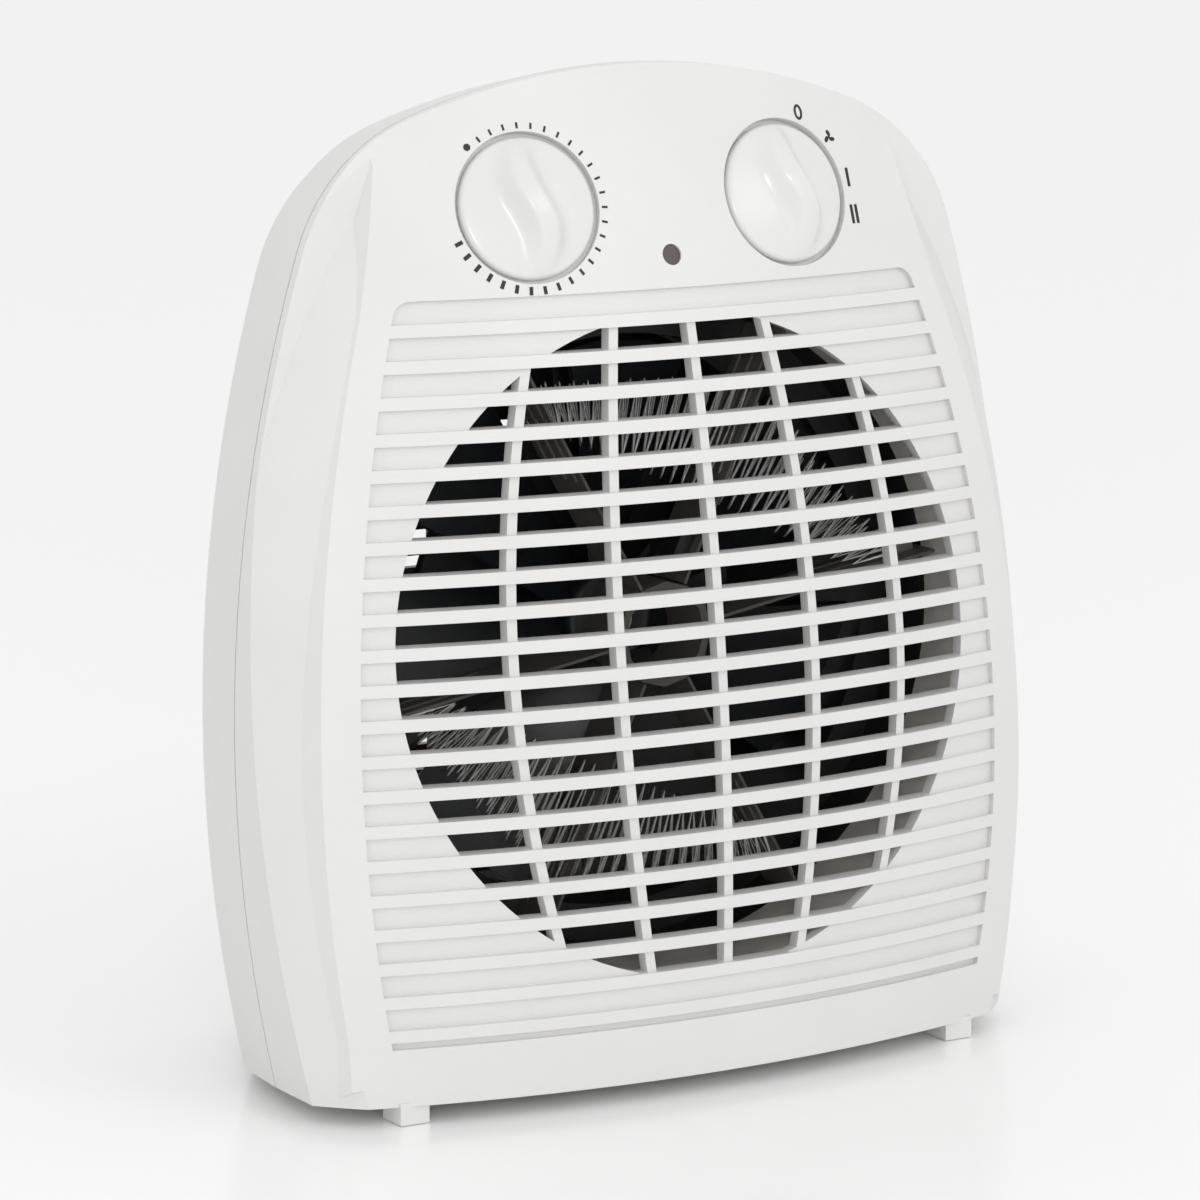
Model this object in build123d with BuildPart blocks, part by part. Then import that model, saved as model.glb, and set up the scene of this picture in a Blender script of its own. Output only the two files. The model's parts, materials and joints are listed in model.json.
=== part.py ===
from build123d import *
import math
import os

# Upright fan convector heater, 2 kW class.
# +Z up, the outlet grille faces -Y, the user's right is +X, all sizes in millimetres.
# The origin is the middle of the footprint, on the surface that the heater stands on.

os.makedirs("parts", exist_ok=True)

# ---- casing ----
HEIGHT = 261.0            # floor to the crown of the casing
HALF_WIDTH = 115.0        # at the widest level of the casing
DEPTH = 124.0             # front bulge to the back face
FOOT_H = 4.7              # ground clearance under the casing
FOOT_W = 8.2
FOOT_L = 9.5
FRONT_FOOT_X = 82.4
FRONT_FOOT_Y = -45.5
REAR_FOOT_X = 54.0
REAR_FOOT_Y = 48.0
WALL = 2.8                # moulded casing wall
FRONT_Y = -DEPTH / 2      # foremost point of the front face
BACK_Y = DEPTH / 2
PART_Y = -17.0            # plane where the two casing halves meet
SEAM = 0.5                # joint line between the halves

SIDE_R = 400.0            # bowed flank of the casing outline
SIDE_Z = 96.0             # level of the greatest width
CROWN_R = 190.0           # arched top of the outline
SHOULDER_R = 50.0         # blend between crown and flank

BULGE_Z = 45.0            # level where the barrel-shaped front face stands furthest out
BULGE_RV = 600.0          # its radius in side view
BULGE_RH = 340.0          # its radius in plan
CHEEK_Z = 64.0            # the same three values for the bevelled cheeks beside the face
CHEEK_RV = 350.0
CHEEK_RH = 140.0
CHEEK_Y = -89.4           # where the cheek surface would cross the middle plane
FACET_ANGLE = 26.0        # the blade-like facet between face and cheek, from the Y axis

# the rear shell keeps its width for a while, closes in over a soft knee and ends in a soft edge:
# depth, how much narrower it is there on each side, how much lower
REAR_SECTIONS = (
    (PART_Y + SEAM, 0.0, 0.0),
    (2.0, 1.6, 3.2),
    (8.0, 3.4, 6.2),
    (14.0, 6.7, 10.4),
    (22.0, 11.8, 15.8),
    (52.0, 31.8, 38.6),
    (58.0, 36.5, 43.2),
    (BACK_Y, 41.5, 48.0),
)

# ---- outlet grille and controls ----
AXIS_Z = 115.0            # level of the fan axis and the grille centre
GRILLE_R = 84.5           # round opening of the outlet grille
SLAT_PITCH = 8.75
SLOT_H = 5.6
BAR_PITCH = 29.1
BAR_SHIFT = 3.7           # the upright bars stand a little to the right of the slats' middle
BAR_W = 2.6
BAR_BOW = 3.4e-5          # how much the upright bars bow with the flanks, per square millimetre
SLAT_DEPTH = 5.0
GROOVE_DEPTH = 1.5        # blind grooves beside the opening
ROWS_UP = 10              # grooves above and below the middle one
ROWS_DOWN = 11
PANEL_TOP = 205.3
PANEL_BASE = 19.7
PANEL_TOP_X = 76.2
PANEL_MID_X = 94.6
PANEL_BASE_X = 88.4
INTAKE_R = 58.0           # round field of slots in the back

KNOB_X = 38.3
KNOB_Z = 227.0
KNOB_R = 18.4
KNOB_RISE = 2.0           # edge of the knob above the face
CROWN_RISE = 5.5          # flat top of its low cone
GRIP_RISE = 9.5           # crest of its S-shaped grip
GRIP_L = 16.0
GRIP_W = 5.5
GRIP_SWAY = 3.6
KNOB_GAP = 0.5
WELL_R = 19.6
WELL_DEPTH = 3.0
CONTROL_LEAN = 18.0       # both control shafts lean back with the face
CONTROL_TURN = 6.5        # and turn outwards with it
SHAFT_HOLE = 4.3
LENS_Z = 213.5
LENS_R = 2.6
LENS_LEAN = 16.3

# ---- heater, fan and motor ----
DUCT_R = 85.0             # inside of the sheet-metal heater duct
DUCT_T = 0.8
DUCT_BACK_Y = -28.0
FLANGE_R = 96.5
DUCT_SCREW_R = 91.5       # circle of the four duct screws
ARM_ANGLES = (10, 65, 120, 190, 245, 300)
ARM_Y = -26.0             # middle of the mica arms
ARM_DEPTH = 18.0
ARM_T = 0.8
ARM_IN = 14.0
TERMINAL_R = 79.0
COIL_IN = 48.0
COIL_OUT = 76.0
COIL_LAYERS = (-5.5, 0.0, 5.5)
COIL_T = 1.0
FAN_R = 73.0
FAN_HUB_R = 13.0
FAN_FRONT_Y = -8.0
FAN_DEPTH = 15.0
BLADES = 7
SHROUD_Y = -27.8          # front of the plastic fan shroud
THROAT_R = 85.2           # its wide front part, in line with the duct
STEP_Y = -12.0            # where it narrows around the fan
SHROUD_R = 75.5
SHROUD_T = 2.0
SHAFT_R = 2.0
SPIDER_Y = 12.0           # three-legged motor carrier
SPIDER_T = 3.0
SPIDER_R = 48.0           # its round plate
CORE_Y = 24.0
CORE_T = 18.0
CORE_X = 28.0
ROTOR_R = 13.2
BORE_R = 13.6
MOTOR_SCREW_X = 23.0
BOBBIN_X = 17.5
REAR_PLATE_Y = CORE_Y + CORE_T + 6

CASE_SCREWS = ((92, 24), (-92, 24), (76, 217), (-76, 217))
CASE_SCREW_L = 14.0
SCREW_R = 1.6
SCREW_FIT = 0.05          # cut thread in plastic, drawn as a snug hole
SCREW_CLEAR = 0.3

# ---- rear shell ----
POCKET_W = 92.0           # carrying pocket for the fingers
POCKET_D = 26.0
POCKET_Y = 30.0
POCKET_Z = 204.0
TOWER_R = 6.0
TOWER_SEAT_Y = -12.0      # the case screws' heads bear here
INTAKE_PITCH = 7.0
INTAKE_SLOT = 3.2
INTAKE_BAR_PITCH = 29.35
INLET_X = 42.0
INLET_Z = 20.0
INLET_R = 5.5
CORD_R = 3.6
BUSH_SINK = 1.6           # the inlet bush's rim lies in a shallow recess


def save(piece, label):
    piece.part.label = label
    export_step(piece.part, "parts/" + label + ".step")


def plane_facing_front(y):
    """Sketch plane parallel to the front, +X right and +Z up, its normal towards -Y."""
    return Plane.XZ.offset(-y)


def axis_plane(y):
    """Plane across the fan axis, its normal towards the back."""
    return Plane(origin=(0, y, AXIS_Z), x_dir=(-1, 0, 0), z_dir=(0, 1, 0))


def y_of_face(x, z):
    """Depth of the barrel-shaped front face at one place."""
    across = BULGE_RH - math.sqrt(BULGE_RH ** 2 - x ** 2)
    along = BULGE_RV - math.sqrt(BULGE_RV ** 2 - (z - BULGE_Z) ** 2)
    return FRONT_Y + across + along


def control_plane(x, z, lean, depth=0.0):
    """Plane on the front face, square to a leaning control axis, its normal pointing out."""
    turn = math.radians(math.copysign(CONTROL_TURN, x)) if x else 0.0
    tilt = math.radians(lean)
    out = Vector(math.sin(turn) * math.cos(tilt), -math.cos(turn) * math.cos(tilt), math.sin(tilt))
    centre = Vector(x, y_of_face(x, z), z) - out * depth
    return Plane(origin=centre, x_dir=(math.cos(turn), math.sin(turn), 0), z_dir=out)


def barrel(front_y, level, r_v, r_h, half_width=130.0, thickness=140.0):
    """Everything behind a doubly curved surface, as a slice of a wide tyre."""
    start = math.radians(20)
    hub = (0, front_y + r_v, level)
    outward = Vector(0, -math.cos(start), -math.sin(start))
    turned = Plane(origin=hub, x_dir=(1, 0, 0), z_dir=Vector(1, 0, 0).cross(outward))
    edge = r_v - r_h + math.sqrt(r_h ** 2 - half_width ** 2)
    with BuildPart() as form:
        with BuildSketch(turned):
            with BuildLine():
                crest = ThreePointArc((-half_width, edge), (0, r_v), (half_width, edge))
                Polyline(crest @ 1, (half_width, r_v - thickness), (-half_width, r_v - thickness), crest @ 0)
            make_face()
        revolve(axis=Axis(hub, (1, 0, 0)), revolution_arc=-70)
    return form.part


def face_form(inset=0.0):
    """Everything behind the front face, or behind a surface parallel to it."""
    return barrel(FRONT_Y + inset, BULGE_Z, BULGE_RV - inset, BULGE_RH - inset)


def cheek_form(inset=0.0):
    return barrel(CHEEK_Y + inset, CHEEK_Z, CHEEK_RV - inset, CHEEK_RH - inset)


def casing_outline(narrower=0.0, lower=0.0, base=FOOT_H):
    """Front view of the casing: flat base, bowed flanks, rounded shoulders and an arched crown."""
    side_x = HALF_WIDTH - narrower
    flank_centre = side_x - SIDE_R
    crown_z = HEIGHT - lower
    top_z = crown_z
    for _ in range(20):
        top_x = flank_centre + math.sqrt(SIDE_R ** 2 - (top_z - SIDE_Z) ** 2)
        top_z = crown_z - CROWN_R + math.sqrt(CROWN_R ** 2 - top_x ** 2)
    base_x = flank_centre + math.sqrt(SIDE_R ** 2 - (base - SIDE_Z) ** 2)
    with BuildSketch() as outline:
        with BuildLine():
            Line((-base_x, base), (base_x, base))
            ThreePointArc((base_x, base), (side_x, SIDE_Z), (top_x, top_z))
            ThreePointArc((top_x, top_z), (0, crown_z), (-top_x, top_z))
            ThreePointArc((-top_x, top_z), (-side_x, SIDE_Z), (-base_x, base))
        make_face()
        fillet(outline.vertices().group_by(Axis.Y)[-1], SHOULDER_R)
    return outline.sketch


def slot_field(radius, pitch, height, reach, bar_pitch, bars, bow, shift=0.0):
    """Rows of slots inside a circle, parted by upright bars that bow outwards."""
    with BuildSketch() as field:
        with Locations((0, AXIS_Z)):
            Circle(radius)
        with BuildSketch(mode=Mode.PRIVATE) as rows:
            with Locations([(0, AXIS_Z + row * pitch) for row in range(-reach, reach + 1)]):
                Rectangle(2 * radius + 2, height)
        add(rows.sketch, mode=Mode.INTERSECT)
        end = radius + 1
        with Locations((shift, AXIS_Z)):
            Rectangle(BAR_W, 2 * end, mode=Mode.SUBTRACT)
        for i in [n for n in range(-bars, bars + 1) if n]:
            mid = i * bar_pitch + shift
            tip = mid - i * bar_pitch * bow * end ** 2
            half = BAR_W / 2
            low, high = AXIS_Z - end, AXIS_Z + end
            with BuildLine():
                right = ThreePointArc((tip + half, low), (mid + half, AXIS_Z), (tip + half, high))
                left = ThreePointArc((tip - half, high), (mid - half, AXIS_Z), (tip - half, low))
                Line(right @ 1, left @ 0)
                Line(left @ 1, right @ 0)
            make_face(mode=Mode.SUBTRACT)
    return field.sketch


# ================= front cover =================

with BuildPart() as facet_block:
    with BuildSketch(plane_facing_front(PART_Y)):
        with BuildLine():
            flank = ThreePointArc((112, 10), (118, 80), (90.5, 206))
            Polyline(flank @ 1, (78, 240), (78, 280), (-78, 280), (-78, 240), (-90.5, 206))
            ThreePointArc((-90.5, 206), (-118, 80), (-112, 10))
            Polyline((-112, 10), (-111, -5), (111, -5), (112, 10))
        make_face()
    extrude(amount=60, taper=FACET_ANGLE)

with BuildPart() as cheek_cutter:
    with BuildSketch(plane_facing_front(PART_Y - 3)):
        with Locations((0, 135)):
            Rectangle(250, 280)
    extrude(amount=50)
    add(cheek_form(), mode=Mode.SUBTRACT)
    add(facet_block.part, mode=Mode.SUBTRACT)

with BuildPart() as groove_cutter:
    with BuildSketch(plane_facing_front(PART_Y)):
        with BuildLine():
            base, mid, top = (PANEL_BASE_X, PANEL_BASE), (PANEL_MID_X, 100), (PANEL_TOP_X, PANEL_TOP)
            right_edge = ThreePointArc(base, mid, top)
            left_edge = ThreePointArc(*[(-x, z) for x, z in (top, mid, base)])
            Line(right_edge @ 1, left_edge @ 0)
            Line(left_edge @ 1, right_edge @ 0)
        panel = make_face()
        fillet(panel.vertices().group_by(Axis.Y)[-1], 5.0)
        fillet(panel.vertices().group_by(Axis.Y)[0], 4.0)
        with BuildSketch(mode=Mode.PRIVATE) as groove_rows:
            rows = range(-ROWS_DOWN, ROWS_UP + 1)
            with Locations([(0, AXIS_Z + row * SLAT_PITCH) for row in rows]):
                Rectangle(220, SLOT_H)
        add(groove_rows.sketch, mode=Mode.INTERSECT)
    extrude(amount=60)
    add(face_form(GROOVE_DEPTH), mode=Mode.SUBTRACT)

with BuildPart() as front_void:
    with BuildSketch(plane_facing_front(PART_Y)):
        add(casing_outline(WALL, WALL, FOOT_H + WALL))
    extrude(amount=60)
    add(face_form(WALL), mode=Mode.INTERSECT)
    add(cheek_form(WALL), mode=Mode.INTERSECT)
    # the grille is deeper than the wall around it
    with BuildPart(mode=Mode.PRIVATE) as grille_core:
        with BuildSketch(plane_facing_front(PART_Y)):
            with Locations((0, AXIS_Z)):
                Circle(GRILLE_R + WALL)
        extrude(amount=60)
        add(face_form(SLAT_DEPTH), mode=Mode.SUBTRACT)
    add(grille_core.part, mode=Mode.SUBTRACT)
    # cups behind the control wells, the lamp seat and the screw bosses
    for x in (-KNOB_X, KNOB_X):
        with BuildSketch(control_plane(x, KNOB_Z, CONTROL_LEAN, WELL_DEPTH + WALL)):
            Circle(WELL_R + WALL)
        extrude(amount=30, mode=Mode.SUBTRACT)
    with BuildSketch(control_plane(0, LENS_Z, LENS_LEAN, 7.0)):
        Circle(LENS_R + 2)
    extrude(amount=20, mode=Mode.SUBTRACT)
    with BuildSketch(plane_facing_front(PART_Y)):
        with Locations(CASE_SCREWS):
            Circle(4.2)
    extrude(amount=60, mode=Mode.SUBTRACT)
    with BuildSketch(plane_facing_front(DUCT_BACK_Y - DUCT_T)):
        with Locations((0, AXIS_Z)):
            with PolarLocations(DUCT_SCREW_R, 4, 45):
                Circle(3.4)
    extrude(amount=60, mode=Mode.SUBTRACT)

with BuildPart() as front_cover:
    with BuildSketch(plane_facing_front(PART_Y)):
        add(casing_outline())
    extrude(amount=60)
    add(face_form(), mode=Mode.INTERSECT)
    add(cheek_cutter.part, mode=Mode.SUBTRACT)
    with BuildSketch(Plane.XY):
        with Locations((FRONT_FOOT_X, FRONT_FOOT_Y), (-FRONT_FOOT_X, FRONT_FOOT_Y)):
            Rectangle(FOOT_W, FOOT_L)
    extrude(amount=FOOT_H + 1)
    add(front_void.part, mode=Mode.SUBTRACT)
    add(groove_cutter.part, mode=Mode.SUBTRACT)
    with BuildSketch(plane_facing_front(PART_Y)):
        add(slot_field(GRILLE_R, SLAT_PITCH, SLOT_H, ROWS_UP - 1, BAR_PITCH, 2, BAR_BOW, BAR_SHIFT))
    extrude(amount=60, mode=Mode.SUBTRACT)
    for x in (-KNOB_X, KNOB_X):
        with BuildSketch(control_plane(x, KNOB_Z, CONTROL_LEAN, WELL_DEPTH)):
            Circle(WELL_R)
        extrude(amount=12, mode=Mode.SUBTRACT)
        with BuildSketch(control_plane(x, KNOB_Z, CONTROL_LEAN, WELL_DEPTH + WALL + 1)):
            Circle(SHAFT_HOLE)
        extrude(amount=10, mode=Mode.SUBTRACT)
    with BuildSketch(control_plane(0, LENS_Z, LENS_LEAN, 9.0)):
        Circle(LENS_R + 0.15)
    extrude(amount=20, mode=Mode.SUBTRACT)
    with BuildSketch(plane_facing_front(PART_Y)):
        with Locations(CASE_SCREWS):
            Circle(SCREW_R + SCREW_FIT)
    extrude(amount=CASE_SCREW_L - 4.7, mode=Mode.SUBTRACT)
    with BuildSketch(plane_facing_front(DUCT_BACK_Y)):
        with Locations((0, AXIS_Z)):
            with PolarLocations(DUCT_SCREW_R, 4, 45):
                Circle(SCREW_R + SCREW_FIT)
    extrude(amount=7, mode=Mode.SUBTRACT)
save(front_cover, "front_cover")

# ================= rear cover =================

with BuildPart() as rear_outer:
    for depth, narrower, lower in REAR_SECTIONS:
        with BuildSketch(plane_facing_front(depth)):
            add(casing_outline(narrower, lower))
    loft(ruled=True)

with BuildPart() as rear_void:
    for depth, narrower, lower in REAR_SECTIONS:
        inner_depth = min(depth, BACK_Y - WALL)
        if depth < PART_Y + WALL:
            inner_depth = PART_Y - 1
        with BuildSketch(plane_facing_front(inner_depth)):
            add(casing_outline(narrower + WALL, lower + WALL, FOOT_H + WALL))
    loft(ruled=True)
    # walls of the carrying pocket and the screw towers
    with BuildSketch(Plane.XY.offset(POCKET_Z - WALL)):
        with Locations((0, POCKET_Y)):
            RectangleRounded(POCKET_W + 2 * WALL, POCKET_D + 2 * WALL, 8 + WALL)
    extrude(amount=90, mode=Mode.SUBTRACT)
    with BuildSketch(plane_facing_front(BACK_Y)):
        with Locations(CASE_SCREWS):
            Circle(TOWER_R)
    extrude(amount=90, mode=Mode.SUBTRACT)

with BuildPart() as rear_cover:
    add(rear_outer.part)
    with BuildSketch(Plane.XY):
        with Locations((REAR_FOOT_X, REAR_FOOT_Y), (-REAR_FOOT_X, REAR_FOOT_Y)):
            Rectangle(FOOT_W, FOOT_L)
    extrude(amount=FOOT_H + 1)
    add(rear_void.part, mode=Mode.SUBTRACT)
    with BuildSketch(plane_facing_front(BACK_Y)):
        add(slot_field(INTAKE_R, INTAKE_PITCH, INTAKE_SLOT, 7, INTAKE_BAR_PITCH, 1, BAR_BOW))
    extrude(amount=12, both=True, mode=Mode.SUBTRACT)
    with BuildSketch(Plane.XY.offset(POCKET_Z)):
        with Locations((0, POCKET_Y)):
            RectangleRounded(POCKET_W, POCKET_D, 8)
    extrude(amount=90, mode=Mode.SUBTRACT)
    # head recess and clearance hole of each case screw
    with BuildSketch(plane_facing_front(TOWER_SEAT_Y)):
        with Locations(CASE_SCREWS):
            Circle(TOWER_R - 2.0)
    extrude(amount=-80, mode=Mode.SUBTRACT)
    with BuildSketch(plane_facing_front(BACK_Y)):
        with Locations(CASE_SCREWS):
            Circle(SCREW_R + SCREW_CLEAR)
    extrude(amount=90, mode=Mode.SUBTRACT)
    with BuildSketch(plane_facing_front(BACK_Y)):
        with Locations((INLET_X, INLET_Z)):
            Circle(INLET_R)
    extrude(amount=20, both=True, mode=Mode.SUBTRACT)
    with BuildSketch(plane_facing_front(BACK_Y - BUSH_SINK)):
        with Locations((INLET_X, INLET_Z)):
            Circle(INLET_R + 2.5)
    extrude(amount=-10, mode=Mode.SUBTRACT)
save(rear_cover, "rear_cover")

# ================= heater =================


def lamp_notch():
    """Gap in the round flanges that leaves room for the indicator lamp."""
    with BuildSketch() as notch:
        with Locations((0, AXIS_Z + FLANGE_R)):
            Rectangle(8, 11)
    return notch.sketch


with BuildPart() as heater_duct:
    with BuildSketch(plane_facing_front(DUCT_BACK_Y)):
        with Locations((0, AXIS_Z)):
            Circle(DUCT_R + DUCT_T)
            Circle(DUCT_R, mode=Mode.SUBTRACT)
    extrude(amount=34)
    add(face_form(SLAT_DEPTH + 0.3), mode=Mode.INTERSECT)
    with BuildSketch(plane_facing_front(DUCT_BACK_Y)):
        with Locations((0, AXIS_Z)):
            Circle(FLANGE_R)
            Circle(DUCT_R, mode=Mode.SUBTRACT)
            with PolarLocations(DUCT_SCREW_R, 4, 45):
                Circle(SCREW_R + SCREW_CLEAR, mode=Mode.SUBTRACT)
        add(lamp_notch(), mode=Mode.SUBTRACT)
    extrude(amount=DUCT_T - 0.2)
save(heater_duct, "heater_duct")

arm_locations = [
    Location((0, ARM_Y, AXIS_Z), (0, -angle, 0)) for angle in ARM_ANGLES
]

with BuildPart() as mica_arms:
    with Locations(arm_locations):
        with Locations((ARM_IN + (DUCT_R - 0.4 - ARM_IN) / 2, 0, 0)):
            Box(DUCT_R - 0.4 - ARM_IN, ARM_DEPTH, ARM_T)
    with Locations(arm_locations):
        with Locations([((COIL_IN + COIL_OUT) / 2, layer, 0) for layer in COIL_LAYERS]):
            Box(COIL_OUT - COIL_IN + 1.2, COIL_T + 0.6, 3, mode=Mode.SUBTRACT)
save(mica_arms, "mica_arms")

with BuildPart() as mica_hub:
    with BuildSketch(plane_facing_front(ARM_Y + ARM_DEPTH / 2)):
        with Locations((0, AXIS_Z)):
            RegularPolygon(ARM_IN - 0.7, 12, major_radius=False)
            RegularPolygon(ARM_IN - 2.7, 12, major_radius=False, mode=Mode.SUBTRACT)
    extrude(amount=ARM_DEPTH)
save(mica_hub, "mica_hub")


def coil_pack(first_arm, last_arm):
    """Three layers of flat resistance winding, strung between two mica arms."""
    start = math.radians(ARM_ANGLES[first_arm] - 2.5)
    end = math.radians(ARM_ANGLES[last_arm] + 2.5)
    middle = (start + end) / 2

    def at(radius, angle):
        return (radius * math.cos(angle), AXIS_Z + radius * math.sin(angle))

    with BuildPart() as pack:
        for layer in COIL_LAYERS:
            with BuildSketch(plane_facing_front(ARM_Y + layer + COIL_T / 2)):
                with BuildLine():
                    outer = ThreePointArc(at(COIL_OUT, start), at(COIL_OUT, middle), at(COIL_OUT, end))
                    inner = ThreePointArc(at(COIL_IN, end), at(COIL_IN, middle), at(COIL_IN, start))
                    Line(outer @ 1, inner @ 0)
                    Line(inner @ 1, outer @ 0)
                make_face()
            extrude(amount=COIL_T)
    return pack


save(coil_pack(0, 2), "heating_element_upper")
save(coil_pack(3, 5), "heating_element_lower")

with BuildPart() as element_terminals:
    with Locations([arm_locations[i] for i in (0, 2, 3, 5)]):
        with Locations((TERMINAL_R, 0, ARM_T / 2 + 1.35)):
            Box(5, 7, 2.5)
save(element_terminals, "element_terminals")

with BuildPart() as thermal_cutout:
    with Locations(arm_locations[1]):
        with Locations((24, 0, ARM_T / 2 + 2.2)):
            Box(9, 12, 4)
save(thermal_cutout, "thermal_cutout")

# ================= fan =================

with BuildPart() as fan_shroud:
    with BuildSketch(plane_facing_front(SHROUD_Y + SHROUD_T)):
        with Locations((0, AXIS_Z)):
            Circle(FLANGE_R)
            Circle(THROAT_R, mode=Mode.SUBTRACT)
            with PolarLocations(DUCT_SCREW_R, 4, 45):
                Circle(SCREW_R + SCREW_CLEAR, mode=Mode.SUBTRACT)
        add(lamp_notch(), mode=Mode.SUBTRACT)
    extrude(amount=SHROUD_T)
    with BuildSketch(plane_facing_front(STEP_Y + SHROUD_T)):
        with Locations((0, AXIS_Z)):
            Circle(THROAT_R + SHROUD_T)
            Circle(THROAT_R, mode=Mode.SUBTRACT)
    extrude(amount=STEP_Y + SHROUD_T - SHROUD_Y)
    with BuildSketch(plane_facing_front(STEP_Y + SHROUD_T)):
        with Locations((0, AXIS_Z)):
            Circle(THROAT_R + SHROUD_T)
            Circle(SHROUD_R, mode=Mode.SUBTRACT)
    extrude(amount=SHROUD_T)
    with BuildSketch(plane_facing_front(SPIDER_Y + SPIDER_T)):
        with Locations((0, AXIS_Z)):
            Circle(SHROUD_R + SHROUD_T)
            Circle(SHROUD_R, mode=Mode.SUBTRACT)
    extrude(amount=SPIDER_Y + SPIDER_T - STEP_Y)
    # three-legged spider that carries the motor behind the fan
    with BuildSketch(plane_facing_front(SPIDER_Y + SPIDER_T)):
        with Locations((0, AXIS_Z)):
            Circle(SPIDER_R)
            with PolarLocations(SHROUD_R / 2 + 12, 3, 90):
                Rectangle(SHROUD_R - 21, 9)
            Circle(8.5, mode=Mode.SUBTRACT)
            with Locations((MOTOR_SCREW_X, 0), (-MOTOR_SCREW_X, 0)):
                Circle(SCREW_R + SCREW_CLEAR, mode=Mode.SUBTRACT)
    extrude(amount=SPIDER_T)
save(fan_shroud, "fan_shroud")

with BuildPart() as blade:
    for radius, twist, chord in ((FAN_HUB_R - 1.5, 45, 21), (45, 29, 36), (FAN_R - 0.5, 19, 50)):
        blade_plane = Plane(origin=(radius, FAN_FRONT_Y + FAN_DEPTH / 2, AXIS_Z),
                            x_dir=(0, 0, 1), z_dir=(1, 0, 0))
        with BuildSketch(blade_plane):
            Rectangle(chord, 1.5, rotation=twist)
    loft(ruled=True)

with BuildPart() as fan_impeller:
    with BuildSketch(axis_plane(FAN_FRONT_Y)):
        Circle(FAN_HUB_R)
    extrude(amount=FAN_DEPTH)
    fillet(fan_impeller.edges().group_by(Axis.Y)[0], 3.0)
    for i in range(BLADES):
        add(blade.part.rotate(Axis((0, 0, AXIS_Z), (0, 1, 0)), i * 360 / BLADES + 20))
    with BuildSketch(axis_plane(FAN_FRONT_Y - 10)):
        Circle(FAN_R)
    extrude(amount=FAN_DEPTH + 20, mode=Mode.INTERSECT)
    with BuildSketch(axis_plane(FAN_FRONT_Y - 10)):
        Circle(SHAFT_R)
    extrude(amount=FAN_DEPTH + 20, mode=Mode.SUBTRACT)
save(fan_impeller, "fan_impeller")

with BuildPart() as fan_clip:
    with BuildSketch(axis_plane(FAN_FRONT_Y - 1.8)):
        Circle(5.0)
        Circle(SHAFT_R, mode=Mode.SUBTRACT)
    extrude(amount=1.6)
save(fan_clip, "fan_clip")


def cylinder_on_axis(label, radius, bore, start, length):
    """Plain turned piece on the fan axis."""
    with BuildPart() as piece:
        with BuildSketch(axis_plane(start)):
            Circle(radius)
            if bore:
                Circle(bore, mode=Mode.SUBTRACT)
        extrude(amount=length)
    save(piece, label)
    return piece


cylinder_on_axis("motor_shaft", SHAFT_R, 0, FAN_FRONT_Y - 3, 65)
cylinder_on_axis("motor_rotor", ROTOR_R, SHAFT_R, CORE_Y - 0.5, CORE_T + 1)

# ================= motor =================

with BuildPart() as stator_core:
    with BuildSketch(plane_facing_front(CORE_Y + CORE_T)):
        with Locations((0, AXIS_Z - 14)):
            RectangleRounded(2 * CORE_X, 72, 4)
        with Locations((0, AXIS_Z)):
            Circle(BORE_R, mode=Mode.SUBTRACT)
        with Locations((0, AXIS_Z - 32)):
            Rectangle(38, 16, mode=Mode.SUBTRACT)
        with Locations((MOTOR_SCREW_X, AXIS_Z), (-MOTOR_SCREW_X, AXIS_Z)):
            Circle(SCREW_R + 0.2, mode=Mode.SUBTRACT)
    extrude(amount=CORE_T)
save(stator_core, "stator_core")

LEG_Z = AXIS_Z - 45
with BuildPart() as motor_bobbin:
    with BuildSketch(Plane.YZ.offset(-BOBBIN_X)):
        with Locations((CORE_Y + CORE_T / 2, LEG_Z)):
            Rectangle(CORE_T + 2.6, 10 + 2.6)
    extrude(amount=2 * BOBBIN_X)
    for x in (-BOBBIN_X, BOBBIN_X - 1.2):
        with BuildSketch(Plane.YZ.offset(x)):
            with Locations((CORE_Y + CORE_T / 2, LEG_Z)):
                RectangleRounded(CORE_T + 12, 22, 2)
        extrude(amount=1.2)
    with BuildSketch(Plane.YZ.offset(-BOBBIN_X - 1)):
        with Locations((CORE_Y + CORE_T / 2, LEG_Z)):
            Rectangle(CORE_T + 0.4, 10 + 0.4)
    extrude(amount=2 * BOBBIN_X + 2, mode=Mode.SUBTRACT)
save(motor_bobbin, "motor_bobbin")

with BuildPart() as motor_winding:
    with BuildSketch(Plane.YZ.offset(-BOBBIN_X + 1.4)):
        with Locations((CORE_Y + CORE_T / 2, LEG_Z)):
            RectangleRounded(CORE_T + 10, 20, 3)
            Rectangle(CORE_T + 2.8, 12.8, mode=Mode.SUBTRACT)
    extrude(amount=2 * BOBBIN_X - 2.8)
save(motor_winding, "motor_winding")


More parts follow.
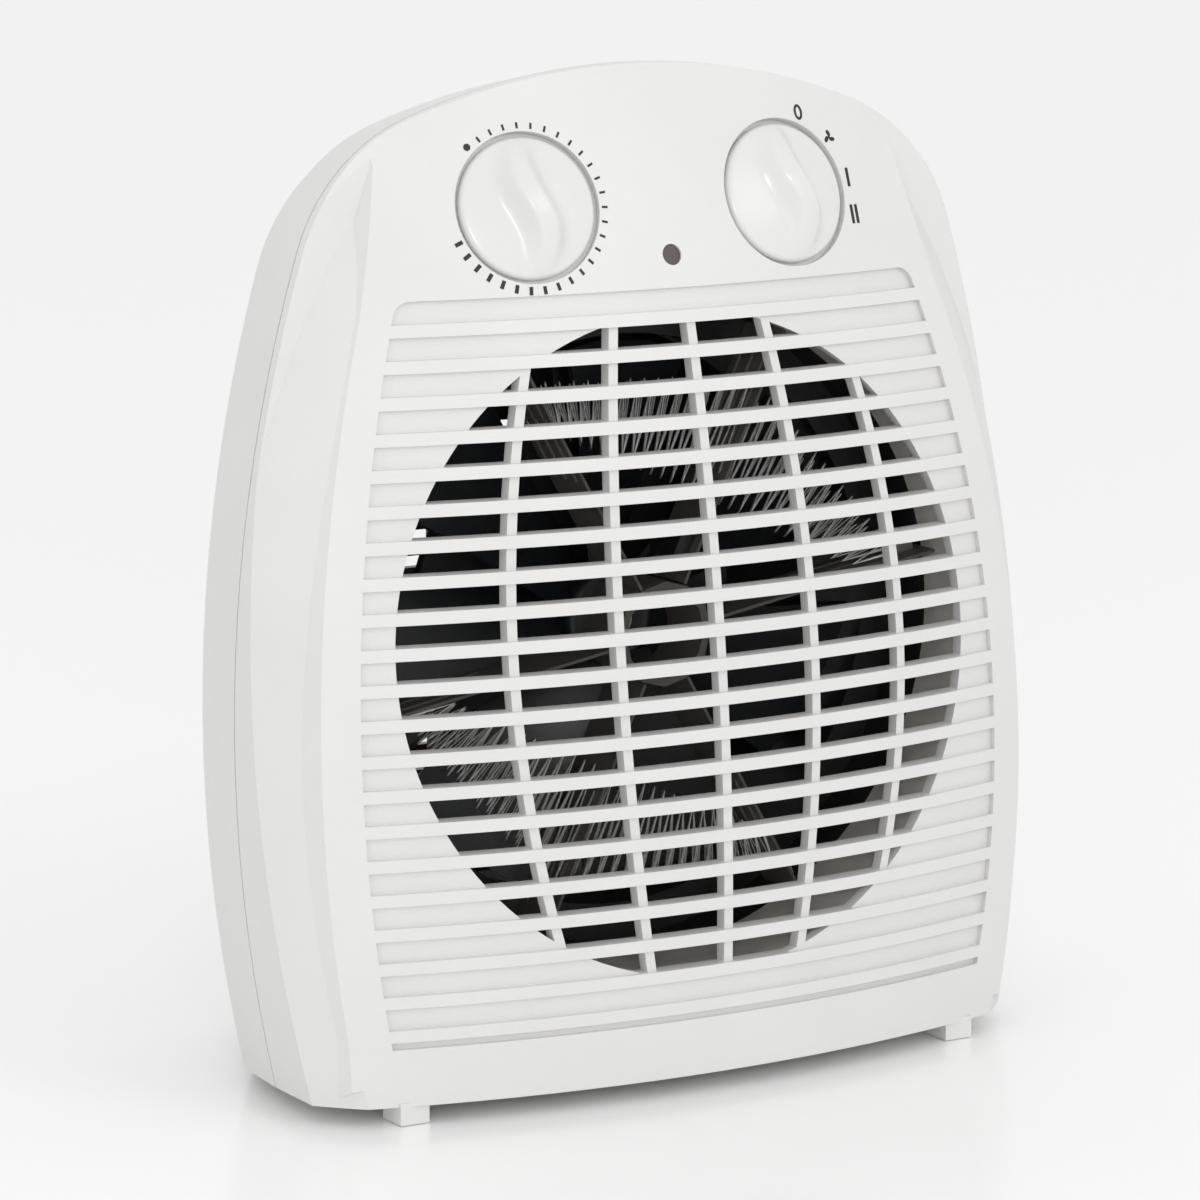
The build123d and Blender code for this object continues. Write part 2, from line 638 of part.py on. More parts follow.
def bearing_bracket(label, plate_y, core_side_y):
    """Pressed bracket with a bearing cup, standing off the core on two spacers."""
    low = min(plate_y, core_side_y)
    with BuildPart() as bracket:
        with BuildSketch(axis_plane(plate_y)):
            SlotOverall(2 * CORE_X + 2, 16)
            Circle(5.52, mode=Mode.SUBTRACT)
            with Locations((MOTOR_SCREW_X, 0), (-MOTOR_SCREW_X, 0)):
                Circle(SCREW_R + 0.2, mode=Mode.SUBTRACT)
        extrude(amount=1.5)
        with BuildSketch(axis_plane(low)):
            with Locations((MOTOR_SCREW_X, 0), (-MOTOR_SCREW_X, 0)):
                Circle(3.6)
                Circle(SCREW_R + 0.2, mode=Mode.SUBTRACT)
        extrude(amount=abs(plate_y - core_side_y))
        with BuildSketch(axis_plane(plate_y - 2)):
            Circle(7.5)
            Circle(5.52, mode=Mode.SUBTRACT)
        extrude(amount=5.5)
    save(bracket, label)


bearing_bracket("bearing_bracket_front", SPIDER_Y + SPIDER_T + 0.1, CORE_Y - 0.1)
bearing_bracket("bearing_bracket_rear", REAR_PLATE_Y, CORE_Y + CORE_T + 0.1)

with BuildPart() as motor_bearings:
    for start in (SPIDER_Y + SPIDER_T - 1.7, REAR_PLATE_Y - 1.8):
        with BuildSketch(axis_plane(start)):
            Circle(5.5)
            Circle(SHAFT_R + 0.04, mode=Mode.SUBTRACT)
        extrude(amount=5)
save(motor_bearings, "motor_bearings")


def screws(label, places, head_y, length, head_r=3.2, head_t=2.2, toward=-1):
    """Identical pan-head screws along Y, all with the same head plane."""
    with BuildPart() as group:
        with BuildSketch(plane_facing_front(head_y)):
            with Locations(places):
                Circle(SCREW_R)
        extrude(amount=-toward * length)
        with BuildSketch(plane_facing_front(head_y)):
            with Locations(places):
                Circle(head_r)
        extrude(amount=toward * head_t)
    save(group, label)


def ring_places(radius, count, first):
    return [(radius * math.cos(math.radians(first + i * 360 / count)),
             AXIS_Z + radius * math.sin(math.radians(first + i * 360 / count))) for i in range(count)]


motor_places = [(MOTOR_SCREW_X, AXIS_Z), (-MOTOR_SCREW_X, AXIS_Z)]
screws("duct_screws", ring_places(DUCT_SCREW_R, 4, 45), SHROUD_Y + 2.1, 9)
screws("case_screws", CASE_SCREWS, TOWER_SEAT_Y + 0.1, CASE_SCREW_L)
screws("motor_screws", motor_places, SPIDER_Y - 0.1, 42, toward=1)

with BuildPart() as motor_nuts:
    with BuildSketch(plane_facing_front(REAR_PLATE_Y + 4.3)):
        with Locations(motor_places):
            RegularPolygon(3.2, 6)
            Circle(SCREW_R + 0.05, mode=Mode.SUBTRACT)
    extrude(amount=2.6)
save(motor_nuts, "motor_nuts")

# ================= controls =================


def control(name, x, body_w, body_h, body_t, body_label):
    """Knob, shaft, nut and switch body of one control, all on its leaning axis."""
    def plane(depth):
        return control_plane(x, KNOB_Z, CONTROL_LEAN, depth)

    with BuildPart() as knob:
        with BuildSketch(plane(WELL_DEPTH - KNOB_GAP)):
            Circle(KNOB_R)
        extrude(amount=WELL_DEPTH - KNOB_GAP + KNOB_RISE)
        with BuildSketch(plane(-KNOB_RISE)):
            Circle(KNOB_R - 1)
        extrude(amount=CROWN_RISE - KNOB_RISE, taper=65)
        with BuildSketch(plane(0)):
            with BuildLine():
                for side in (-GRIP_W / 2, GRIP_W / 2):
                    ThreePointArc((side, GRIP_L), (side - GRIP_SWAY, GRIP_L / 2), (side, 0))
                    ThreePointArc((side, 0), (side + GRIP_SWAY, -GRIP_L / 2), (side, -GRIP_L))
                Line((-GRIP_W / 2, GRIP_L), (GRIP_W / 2, GRIP_L))
                Line((-GRIP_W / 2, -GRIP_L), (GRIP_W / 2, -GRIP_L))
            make_face()
        extrude(amount=GRIP_RISE, taper=6)
        with BuildSketch(plane(WELL_DEPTH)):
            Circle(KNOB_R - 2.5)
            Circle(5.5, mode=Mode.SUBTRACT)
        extrude(amount=WELL_DEPTH + KNOB_RISE - 2.5, mode=Mode.SUBTRACT)
        with BuildSketch(plane(WELL_DEPTH)):
            Circle(5.6)
        extrude(amount=WELL_DEPTH + 0.2, mode=Mode.SUBTRACT)
        with BuildSketch(plane(0)):
            Circle(3.02)
        extrude(amount=CROWN_RISE - 1, mode=Mode.SUBTRACT)
    save(knob, name + "_knob")
    with BuildPart() as shaft:
        with BuildSketch(plane(14)):
            Circle(3.0)
        extrude(amount=14 + CROWN_RISE - 1.2)
    save(shaft, name + "_shaft")
    with BuildPart() as nut:
        with BuildSketch(plane(WELL_DEPTH - 0.1)):
            RegularPolygon(7.5, 6)
            Circle(4.05, mode=Mode.SUBTRACT)
        extrude(amount=2.0)
    save(nut, name + "_nut")
    with BuildPart() as body:
        with BuildSketch(plane(WELL_DEPTH + WALL + 0.1)):
            RectangleRounded(body_w, body_h, 2)
        extrude(amount=-body_t)
        with BuildSketch(plane(WELL_DEPTH + WALL + 0.1)):
            Circle(4.0)
        extrude(amount=WALL + 2.4)
        with BuildSketch(plane(14.3)):
            Circle(3.06)
        extrude(amount=20, mode=Mode.SUBTRACT)
    save(body, body_label)


control("thermostat", -KNOB_X, 26, 20, 15, "thermostat_body")
control("selector", KNOB_X, 24, 24, 17, "selector_switch")

with BuildPart() as indicator_lens:
    with BuildSketch(control_plane(0, LENS_Z, LENS_LEAN, 5.0)):
        Circle(LENS_R)
    extrude(amount=4.4)
save(indicator_lens, "indicator_lens")

with BuildPart() as indicator_lamp:
    with BuildSketch(control_plane(0, LENS_Z, LENS_LEAN, 14.0)):
        Circle(2.3)
    extrude(amount=8.6)
save(indicator_lamp, "indicator_lamp")

# ================= mains side =================

with BuildPart() as terminal_block:
    with BuildSketch(Plane.XY.offset(FOOT_H + WALL + 0.1)):
        with Locations((INLET_X - 8, 34)):
            RectangleRounded(34, 15, 2)
    extrude(amount=13)
    with BuildSketch(Plane.XZ.offset(-20)):
        with Locations([(INLET_X - 8 + dx, FOOT_H + WALL + 7) for dx in (-10, 0, 10)]):
            Circle(2.0)
    extrude(amount=-30, mode=Mode.SUBTRACT)
save(terminal_block, "terminal_block")

with BuildPart() as cord_inlet_bush:
    with BuildSketch(plane_facing_front(BACK_Y - BUSH_SINK + 0.1)):
        with Locations((INLET_X, INLET_Z)):
            Circle(INLET_R + 2.2)
    extrude(amount=-(BUSH_SINK - 0.2))
    with BuildSketch(plane_facing_front(BACK_Y - BUSH_SINK + 0.1)):
        with Locations((INLET_X, INLET_Z)):
            Circle(INLET_R - 0.1)
    extrude(amount=8)
    with BuildSketch(plane_facing_front(BACK_Y + 3)):
        with Locations((INLET_X, INLET_Z)):
            Circle(CORD_R)
    extrude(amount=20, mode=Mode.SUBTRACT)
save(cord_inlet_bush, "cord_inlet_bush")
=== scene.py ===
import json
import math

import bmesh
import bpy
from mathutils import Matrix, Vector
from mathutils.bvhtree import BVHTree


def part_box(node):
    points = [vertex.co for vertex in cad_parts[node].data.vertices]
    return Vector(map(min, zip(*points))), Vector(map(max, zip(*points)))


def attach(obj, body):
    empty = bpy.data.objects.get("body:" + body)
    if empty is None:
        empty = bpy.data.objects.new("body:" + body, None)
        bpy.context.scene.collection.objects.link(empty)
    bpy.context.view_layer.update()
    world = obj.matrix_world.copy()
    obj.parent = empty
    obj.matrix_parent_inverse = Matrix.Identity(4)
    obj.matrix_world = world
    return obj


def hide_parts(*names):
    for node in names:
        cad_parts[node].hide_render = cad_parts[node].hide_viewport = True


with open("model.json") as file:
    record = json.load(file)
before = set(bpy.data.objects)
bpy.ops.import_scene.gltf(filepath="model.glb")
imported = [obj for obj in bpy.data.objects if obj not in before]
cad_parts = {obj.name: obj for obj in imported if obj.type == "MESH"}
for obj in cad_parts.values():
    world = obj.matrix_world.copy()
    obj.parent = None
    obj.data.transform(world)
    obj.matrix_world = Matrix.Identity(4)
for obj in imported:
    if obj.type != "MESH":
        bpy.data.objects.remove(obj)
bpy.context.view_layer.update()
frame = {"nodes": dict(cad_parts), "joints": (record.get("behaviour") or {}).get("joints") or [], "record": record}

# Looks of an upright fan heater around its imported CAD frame.
# Everything is in metres, +Z up, the grille faces -Y. MM turns millimetres into metres.
MM = 0.001
NODES = frame["nodes"]
JOINTS = {joint["name"]: joint for joint in frame["joints"]}
AXIS = Vector(JOINTS["fan_spin"]["pos_m"])

# ---------------------------------------------------------------- materials


def new_material(name, colour, roughness, metallic=0.0):
    material = bpy.data.materials.new(name)
    material.use_nodes = True
    shader = material.node_tree.nodes["Principled BSDF"]
    shader.inputs["Base Color"].default_value = (*colour, 1.0)
    shader.inputs["Roughness"].default_value = roughness
    shader.inputs["Metallic"].default_value = metallic
    return material, shader


def noise(material, scale, detail=3.0, stretch=(1.0, 1.0, 1.0)):
    """Noise in the object's own coordinates; scale is in waves per metre."""
    nodes = material.node_tree.nodes
    place = nodes.new("ShaderNodeTexCoord")
    mapping = nodes.new("ShaderNodeMapping")
    mapping.inputs["Scale"].default_value = stretch
    texture = nodes.new("ShaderNodeTexNoise")
    texture.inputs["Scale"].default_value = scale
    texture.inputs["Detail"].default_value = detail
    links = material.node_tree.links
    links.new(place.outputs["Object"], mapping.inputs["Vector"])
    links.new(mapping.outputs["Vector"], texture.inputs["Vector"])
    return texture.outputs["Fac"]


def add_bump(material, shader, fac, depth, strength=1.0):
    bump = material.node_tree.nodes.new("ShaderNodeBump")
    bump.inputs["Distance"].default_value = depth
    bump.inputs["Strength"].default_value = strength
    material.node_tree.links.new(fac, bump.inputs["Height"])
    material.node_tree.links.new(bump.outputs["Normal"], shader.inputs["Normal"])


def vary_colour(material, shader, fac, low, high):
    ramp = material.node_tree.nodes.new("ShaderNodeValToRGB")
    ramp.color_ramp.elements[0].position = 0.3
    ramp.color_ramp.elements[0].color = (*low, 1.0)
    ramp.color_ramp.elements[1].position = 0.7
    ramp.color_ramp.elements[1].color = (*high, 1.0)
    material.node_tree.links.new(fac, ramp.inputs["Fac"])
    material.node_tree.links.new(ramp.outputs["Color"], shader.inputs["Base Color"])


def vary_roughness(material, shader, fac, low, high):
    spread = material.node_tree.nodes.new("ShaderNodeMapRange")
    spread.inputs["To Min"].default_value = low
    spread.inputs["To Max"].default_value = high
    material.node_tree.links.new(fac, spread.inputs["Value"])
    material.node_tree.links.new(spread.outputs["Result"], shader.inputs["Roughness"])


def moulded_plastic(name, colour, roughness, grain=2600.0, depth=0.03 * MM):
    """Moulded plastic: fine grain, a faint unevenness of tone and of gloss."""
    material, shader = new_material(name, colour, roughness)
    shader.inputs["IOR"].default_value = 1.5
    add_bump(material, shader, noise(material, grain), depth)
    low = tuple(c * 0.975 for c in colour)
    vary_colour(material, shader, noise(material, 45.0), low, colour)
    vary_roughness(material, shader, noise(material, 160.0), roughness * 0.88, roughness * 1.15)
    return material


def drawn_metal(name, colour, roughness, stretch=(1.0, 1.0, 14.0), grain=900.0):
    """Rolled or turned metal: streaks along one direction."""
    material, shader = new_material(name, colour, roughness, metallic=1.0)
    streaks = noise(material, grain, 4.0, stretch)
    add_bump(material, shader, streaks, 0.02 * MM)
    vary_roughness(material, shader, streaks, roughness * 0.75, roughness * 1.35)
    vary_colour(material, shader, noise(material, 60.0), tuple(c * 0.86 for c in colour), colour)
    return material


def sheet_metal(name, colour, roughness):
    """Dull coated sheet, half way between paint and metal, with faint stains."""
    material, shader = new_material(name, colour, roughness, metallic=0.35)
    add_bump(material, shader, noise(material, 350.0, 4.0, (1.0, 1.0, 6.0)), 0.03 * MM)
    vary_colour(material, shader, noise(material, 70.0), tuple(c * 0.8 for c in colour), colour)
    vary_roughness(material, shader, noise(material, 220.0), roughness * 0.8, roughness * 1.25)
    return material


def shell_with_painted_shade(name, colour, roughness, middle, band):
    """Moulded white plastic with painted shade: where a surface faces the inside of the shell it is painted near
    black, standing in for the shade inside the heater.

    The painted shade is kept to one band of levels, clear of the carrying pocket and the screw recesses.
    """
    material = moulded_plastic(name, colour, roughness)
    nodes, links = material.node_tree.nodes, material.node_tree.links
    shader = nodes["Principled BSDF"]
    geometry = nodes.new("ShaderNodeNewGeometry")
    place = nodes.new("ShaderNodeTexCoord")
    reach = nodes.new("ShaderNodeVectorMath")
    reach.operation = "SUBTRACT"
    reach.inputs[1].default_value = middle
    facing = nodes.new("ShaderNodeVectorMath")
    facing.operation = "DOT_PRODUCT"
    inside = nodes.new("ShaderNodeMath")
    inside.operation = "LESS_THAN"
    inside.inputs[1].default_value = 0.0
    level = nodes.new("ShaderNodeSeparateXYZ")
    in_band = nodes.new("ShaderNodeMath")
    in_band.operation = "COMPARE"
    in_band.inputs[1].default_value = (band[0] + band[1]) / 2
    in_band.inputs[2].default_value = (band[1] - band[0]) / 2
    painted_shade = nodes.new("ShaderNodeMath")
    painted_shade.operation = "MULTIPLY"
    # painted shade: near-black colour mixed in where the surface faces the inside of the shell
    mix = nodes.new("ShaderNodeMix")
    mix.data_type = "RGBA"
    mix.inputs["B"].default_value = (0.03, 0.03, 0.03, 1.0)
    outer = shader.inputs["Base Color"].links[0].from_socket
    links.new(place.outputs["Object"], reach.inputs[0])
    links.new(reach.outputs["Vector"], facing.inputs[0])
    links.new(geometry.outputs["True Normal"], facing.inputs[1])
    links.new(facing.outputs["Value"], inside.inputs[0])
    links.new(place.outputs["Object"], level.inputs["Vector"])
    links.new(level.outputs["Z"], in_band.inputs[0])
    links.new(inside.outputs["Value"], painted_shade.inputs[0])
    links.new(in_band.outputs["Value"], painted_shade.inputs[1])
    links.new(painted_shade.outputs["Value"], mix.inputs["Factor"])
    links.new(outer, mix.inputs["A"])
    links.new(mix.outputs["Result"], shader.inputs["Base Color"])
    return material


WHITE = (0.73, 0.727, 0.715)
MATERIALS = {
    "casing_white": moulded_plastic("casing white plastic", WHITE, 0.34),
    "knob_white": moulded_plastic("knob white plastic", (0.74, 0.738, 0.73), 0.22, 1800.0, 0.01 * MM),
    "duct_metal": sheet_metal("duct sheet steel", (0.86, 0.83, 0.76), 0.45),
    "mica": moulded_plastic("mica board", (0.10, 0.095, 0.085), 0.6, 700.0, 0.08 * MM),
    "heating_wire": moulded_plastic("heating wire", (0.95, 0.94, 0.91), 0.3),
    "bright_terminal": drawn_metal("plated terminal", (0.45, 0.45, 0.45), 0.35),
    "black_plastic": moulded_plastic("black plastic", (0.012, 0.012, 0.012), 0.5),
    "fan_dark": moulded_plastic("fan plastic", (0.014, 0.016, 0.018), 0.35),
    "clip_white": moulded_plastic("white clip", (0.7, 0.7, 0.7), 0.4),
    "steel": drawn_metal("zinc plated steel", (0.62, 0.62, 0.63), 0.35),
    "core_steel": drawn_metal("laminated core", (0.30, 0.30, 0.31), 0.5, (1.0, 40.0, 1.0), 400.0),
    "aluminium": drawn_metal("turned aluminium", (0.75, 0.75, 0.76), 0.3),
    "bobbin": moulded_plastic("bobbin nylon", (0.75, 0.72, 0.64), 0.45),
    "copper": drawn_metal("enamelled copper", (0.62, 0.24, 0.10), 0.35, (90.0, 1.0, 1.0), 60.0),
    "bronze": drawn_metal("sintered bronze", (0.50, 0.33, 0.16), 0.5),
    "control_body": moulded_plastic("phenolic body", (0.05, 0.05, 0.055), 0.5),
    "lens_smoke": moulded_plastic("smoked lens", (0.05, 0.035, 0.03), 0.12, 3000.0, 0.005 * MM),
    "lamp": moulded_plastic("neon lamp", (0.55, 0.30, 0.20), 0.15),
    "inlet_black": moulded_plastic("inlet rubber", (0.02, 0.02, 0.02), 0.55),
}
PRINT = moulded_plastic("printed ink", (0.012, 0.012, 0.014), 0.45, 2600.0, 0.01 * MM)

for part in frame["record"]["subparts"]:
    node = NODES[part["node"]]
    node.data.materials.clear()
    node.data.materials.append(MATERIALS[part["material_slot"]])
# The rear shell's inner faces get painted shade within a band of heights, standing in for the dark interior
shell_low, shell_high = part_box("rear_cover")
SHELL_MIDDLE = ((shell_low.x + shell_high.x) / 2, shell_low.y + 10 * MM, AXIS.z + 10 * MM)
PAINTED_SHADE_BAND = (34 * MM, 198 * MM)
NODES["rear_cover"].data.materials[0] = shell_with_painted_shade("rear shell plastic with painted inner shade", WHITE, 0.34, SHELL_MIDDLE,
                                                      PAINTED_SHADE_BAND)

# ---------------------------------------------------------------- controls


def control_axes(joint_name):
    """Centre on the face, and the right, up and outward directions of one control."""
    joint = JOINTS[joint_name]
    out = Vector(joint["axis"]).normalized()
    right = Vector((0.0, 0.0, 1.0)).cross(out).normalized()
    up = out.cross(right).normalized()
    return Vector(joint["pos_m"]), right, up, out


# knob sizes in mm; heights are counted from the face, outwards
KNOB_R = 18.4
RIM_RISE = -0.6
BASE_DOME = 3.2
SKIRT_HEIGHTS = (-2.1, -2.5)
BACK_INSET = 2.0
SECTORS = 160
CREST_RISE = 7.6
EDGE_ROUND = 1.2
GRIP_LENGTH = 16.5
GRIP_WIDTH = 1.9
GRIP_SWAY = 2.0
HOLLOW_WIDTH = 7.5


def smooth(t):
    t = min(max(t, 0.0), 1.0)
    return t * t * (3 - 2 * t)


def knob_height(x, y, turn):
    """Height of the knob's front at one place, in mm above the face, with its S-shaped grip."""
    c, s = math.cos(turn), math.sin(turn)
    x, y = x * c + y * s, -x * s + y * c
    r = math.hypot(x, y)
    dome = RIM_RISE + (CREST_RISE - RIM_RISE) * (1 - (r / KNOB_R) ** 2)
    base = RIM_RISE + BASE_DOME * (1 - (r / KNOB_R) ** 2)
    along = y / GRIP_LENGTH
    centre = -GRIP_SWAY * math.sin(along * math.pi)
    half = GRIP_WIDTH * math.sqrt(max(0.0, 1 - along * along))
    beside = max(0.0, abs(x - centre) - half)
    wall = 1 - smooth(beside / HOLLOW_WIDTH)
    height = base + (dome - base) * wall * wall
    edge = KNOB_R - r
    if edge < EDGE_ROUND:
        height -= EDGE_ROUND - math.sqrt(max(0.0, EDGE_ROUND ** 2 - (EDGE_ROUND - edge) ** 2))
    return height


def make_knob(name, joint_name, body, turn):
    """Knob as one closed mesh: a polar height field, a side wall and a flat back."""
    centre, right, up, out = control_axes(joint_name)
    radii = [KNOB_R * i / 60 for i in range(1, 57)]
    radii += [KNOB_R - EDGE_ROUND * (1 - math.sin(k * math.pi / 16)) for k in range(1, 9)]
    radii = sorted(radii)
    mesh = bmesh.new()

    def point(x, y, h):
        return mesh.verts.new(centre + (right * x + up * y + out * h) * MM)

    def ring_at(radius, height=None):
        ring = []
        for k in range(SECTORS):
            a = 2 * math.pi * k / SECTORS
            x, y = radius * math.cos(a), radius * math.sin(a)
            ring.append(point(x, y, knob_height(x, y, turn) if height is None else height))
        return ring

    rings = [ring_at(radius) for radius in radii]
    rings += [ring_at(KNOB_R, h) for h in SKIRT_HEIGHTS]
    rings += [ring_at(KNOB_R - BACK_INSET, SKIRT_HEIGHTS[-1])]
    middle = point(0, 0, knob_height(0, 0, turn))
    back = point(0, 0, SKIRT_HEIGHTS[-1])
    for k in range(SECTORS):
        n = (k + 1) % SECTORS
        mesh.faces.new((middle, rings[0][k], rings[0][n]))
        mesh.faces.new((back, rings[-1][n], rings[-1][k]))
        for inner, outer in zip(rings, rings[1:]):
            mesh.faces.new((inner[k], outer[k], outer[n], inner[n]))
    bmesh.ops.recalc_face_normals(mesh, faces=mesh.faces)
    data = bpy.data.meshes.new(name)
    mesh.to_mesh(data)
    mesh.free()
    for face in data.polygons:
        face.use_smooth = True
    knob = bpy.data.objects.new(name, data)
    bpy.context.scene.collection.objects.link(knob)
    data.materials.append(MATERIALS["knob_white"])
    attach(knob, body)
    return knob


thermostat = make_knob("thermostat_cap", "thermostat_turn", "thermostat_dial", math.radians(6))
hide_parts("thermostat_knob")
selector = make_knob("selector_cap", "selector_turn", "selector_dial", math.radians(4))
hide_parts("selector_knob")

# ---------------------------------------------------------------- printed marks

INK = 0.06 * MM
INK_ROOT = 0.02 * MM
RAY_START = 20 * MM
cover_tree = BVHTree.FromObject(NODES["front_cover"], bpy.context.evaluated_depsgraph_get())


def printed(name, joint_name, outlines):
    """Thin ink shapes on the face; outlines are lists of (right, up) places in mm about a control."""
    centre, right, up, out = control_axes(joint_name)
    mesh = bmesh.new()
    for outline in outlines:
        low, high = [], []
        for x, y in outline:
            flat = centre + (right * x + up * y) * MM
            start = flat + out * RAY_START
            hit = cover_tree.ray_cast(start, -out)[0]
            low.append(mesh.verts.new(hit - out * INK_ROOT))
            high.append(mesh.verts.new(hit + out * INK))
        mesh.faces.new(high)
        mesh.faces.new(list(reversed(low)))
        for k in range(len(low)):
            n = (k + 1) % len(low)
            mesh.faces.new((low[k], low[n], high[n], high[k]))
    bmesh.ops.recalc_face_normals(mesh, faces=mesh.faces)
    data = bpy.data.meshes.new(name)
    mesh.to_mesh(data)
    mesh.free()
    marks = bpy.data.objects.new(name, data)
    bpy.context.scene.collection.objects.link(marks)
    data.materials.append(PRINT)
    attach(marks, "housing")
    return marks


def radial_stroke(angle, inner, outer, width):
    c, s = math.cos(angle), math.sin(angle)
    half = width / 2
    return [(inner * c + half * s, inner * s - half * c), (outer * c + half * s, outer * s - half * c),
            (outer * c - half * s, outer * s + half * c), (inner * c - half * s, inner * s + half * c)]


def disc(x, y, radius, count=20):
    return [(x + radius * math.cos(2 * math.pi * k / count), y + radius * math.sin(2 * math.pi * k / count))
            for k in range(count)]


TICK_START = 20.3


def thermostat_scale():
    """A dot, then ticks clockwise; the last ones are bolder."""
    dot_angle = math.radians(132)
    strokes = [disc(21.6 * math.cos(dot_angle), 21.6 * math.sin(dot_angle), 0.95)]
    ticks = 28
    first, last = 122.0, -157.0
    for k in range(ticks):
        angle = math.radians(first + (last - first) * k / (ticks - 1))
        bold = smooth((k - 13) / 10)
        strokes.append(radial_stroke(angle, TICK_START, TICK_START + 1.6 + 0.6 * bold, 0.6 + 0.45 * bold))
    return strokes


def ring_outline(x, y, wide, high, line, count=28):
    """An upright 0 as two half rings, each a simple outline."""
    halves = []
    for side in (0, math.pi):
        sweep = [side - math.pi / 2 + math.pi * k / count for k in range(count + 1)]
        outer = [(x + wide * math.cos(a), y + high * math.sin(a)) for a in sweep]
        inner = [(x + (wide - line) * math.cos(a), y + (high - line) * math.sin(a)) for a in reversed(sweep)]
        halves.append(outer + inner)
    return halves


def fan_symbol(x, y, size):
    """Three rounded blades about a hub."""
    shapes = [disc(x, y, size * 0.2)]
    for k in range(3):
        a = math.radians(90 + 120 * k)
        cx, cy = x + size * 0.52 * math.cos(a), y + size * 0.52 * math.sin(a)
        blade = []
        for j in range(20):
            b = 2 * math.pi * j / 20
            u, v = size * 0.44 * math.cos(b), size * 0.27 * math.sin(b)
            turn = a + 0.5
            c, s = math.cos(turn), math.sin(turn)
            blade.append((cx + u * c - v * s, cy + u * s + v * c))
        shapes.append(blade)
    return shapes


def upright_bar(x, y, high=5.0, wide=0.95):
    return [(x - wide / 2, y - high / 2), (x + wide / 2, y - high / 2),
            (x + wide / 2, y + high / 2), (x - wide / 2, y + high / 2)]


def polar(radius, degrees):
    return radius * math.cos(math.radians(degrees)), radius * math.sin(math.radians(degrees))


printed("thermostat_scale", "thermostat_turn", thermostat_scale())
zero_x, zero_y = polar(22.6, 66)
printed("selector_off_mark", "selector_turn", ring_outline(zero_x, zero_y, 1.35, 2.1, 0.7))
fan_x, fan_y = polar(22.5, 37)
printed("selector_fan_mark", "selector_turn", fan_symbol(fan_x, fan_y, 2.1))
one_x, one_y = polar(22.0, 7)
printed("selector_one_mark", "selector_turn", [upright_bar(one_x, one_y)])
two_x, two_y = polar(23.0, -18)
printed("selector_two_mark", "selector_turn",
        [upright_bar(two_x - 0.8, two_y), upright_bar(two_x + 0.8, two_y)])

# ---------------------------------------------------------------- heating wire

WIRE_R = 0.45 * MM
WAVE = 4.2 * MM
FIRST_LAYER = 0.06
LAYER_STEP = 0.44
END_RADII = (64 * MM, 76 * MM)
MIDDLE_RADII = (38 * MM, 70 * MM)


def zigzag(name, node, angles):
    """Wave-shaped resistance wire strung over three mica arms, in three layers."""
    low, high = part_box(node)
    curve = bpy.data.curves.new(name, "CURVE")
    curve.dimensions = "3D"
    curve.bevel_depth = WIRE_R
    curve.bevel_resolution = 1
    radii = (END_RADII, MIDDLE_RADII, END_RADII)
    for layer in range(3):
        depth = low.y + (high.y - low.y) * (FIRST_LAYER + LAYER_STEP * layer)
        points = []
        side = 0
        for run in range(2):
            ends = []
            for stop in (run, run + 1):
                a = math.radians(angles[stop])
                ray = Vector((math.cos(a), 0, math.sin(a)))
                ends.append([Vector((0, depth, AXIS.z)) + ray * r for r in radii[stop]])
            length = (ends[1][1] - ends[0][1]).length
            count = int(length / WAVE) * 2
            for k in range(count):
                t = k / count
                inner = ends[0][0].lerp(ends[1][0], t)
                outer = ends[0][1].lerp(ends[1][1], t)
                points.append(outer if side else inner)
                side = 1 - side
        spline = curve.splines.new("POLY")
        spline.points.add(len(points) - 1)
        for spot, place in zip(spline.points, points):
            spot.co = (*place, 1.0)
    wire = bpy.data.objects.new(name, curve)
    bpy.context.scene.collection.objects.link(wire)
    curve.materials.append(MATERIALS["heating_wire"])
    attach(wire, "housing")
    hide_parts(node)
    return wire


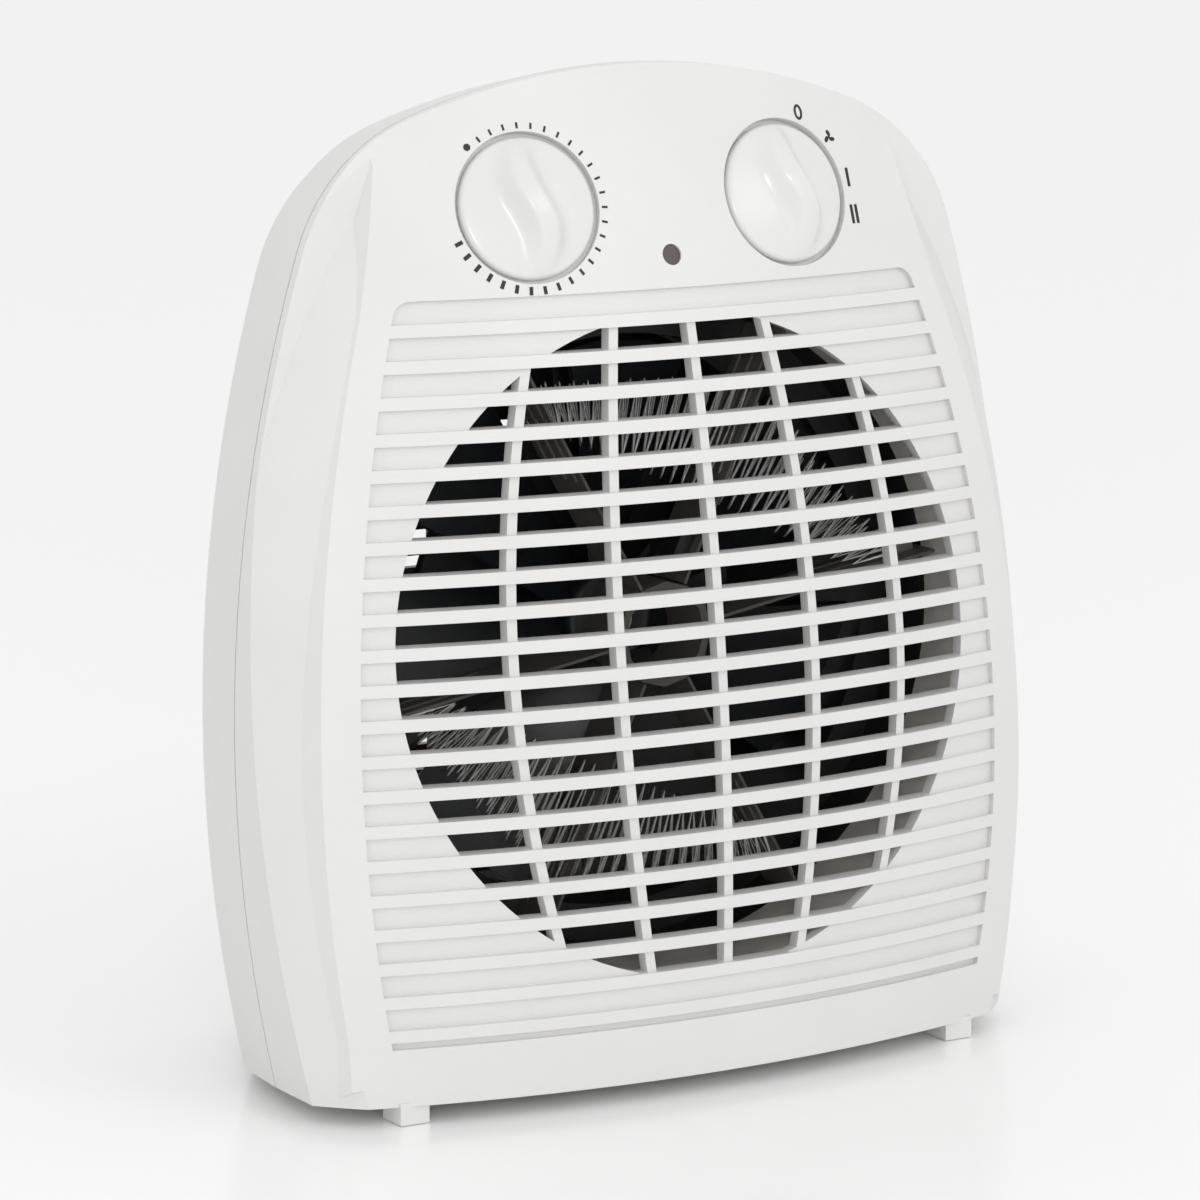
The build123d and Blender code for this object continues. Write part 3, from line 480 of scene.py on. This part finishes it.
zigzag("upper_wire", "heating_element_upper", (120, 65, 10))
zigzag("lower_wire", "heating_element_lower", (300, 245, 190))

# ---------------------------------------------------------------- stage

bpy.ops.mesh.primitive_plane_add(size=40, location=(0, 0, -0.0002))
floor = bpy.context.object
floor.name = "floor"
floor_material, floor_shader = new_material("pale floor", (0.95, 0.95, 0.95), 0.18)
floor_shader.inputs["Specular IOR Level"].default_value = 0.35
floor.data.materials.append(floor_material)

world = bpy.data.worlds.new("studio")
bpy.context.scene.world = world
world.use_nodes = True
world.node_tree.nodes["Background"].inputs["Color"].default_value = (1.0, 1.0, 1.0, 1.0)
world.node_tree.nodes["Background"].inputs["Strength"].default_value = 0.9


def softbox(name, place, target, size, power):
    light = bpy.data.lights.new(name, "AREA")
    light.shape = "RECTANGLE"
    light.size, light.size_y = size
    light.energy = power
    lamp = bpy.data.objects.new(name, light)
    lamp.location = place
    lamp.rotation_euler = (Vector(target) - Vector(place)).to_track_quat("-Z", "Y").to_euler()
    bpy.context.scene.collection.objects.link(lamp)
    return lamp


softbox("key", (0.55, -1.4, 0.9), (0, 0, 0.13), (0.7, 0.7), 2.6)
softbox("front", (-0.75, -1.35, 0.45), (0, 0, 0.12), (0.4, 0.4), 4.5)
softbox("top", (0.0, 0.1, 1.6), (0, 0, 0.1), (1.2, 1.2), 0.8)

# ---------------------------------------------------------------- camera

AZIMUTH = math.radians(-30.54)
ELEVATION = math.radians(10.17)
DISTANCE = 1.344
LOOK_AT = Vector((-0.03305, -0.0579, 0.1305))

camera_data = bpy.data.cameras.new("camera")
camera_data.lens = 161.1
camera_data.sensor_width = 36.0
camera = bpy.data.objects.new("camera", camera_data)
towards = Vector((math.sin(AZIMUTH) * math.cos(ELEVATION), -math.cos(AZIMUTH) * math.cos(ELEVATION),
                  math.sin(ELEVATION)))
camera.location = LOOK_AT + towards * DISTANCE
camera.rotation_euler = (-towards).to_track_quat("-Z", "Y").to_euler()
bpy.context.scene.collection.objects.link(camera)
bpy.context.scene.camera = camera
bpy.context.scene.view_settings.view_transform = "Standard"
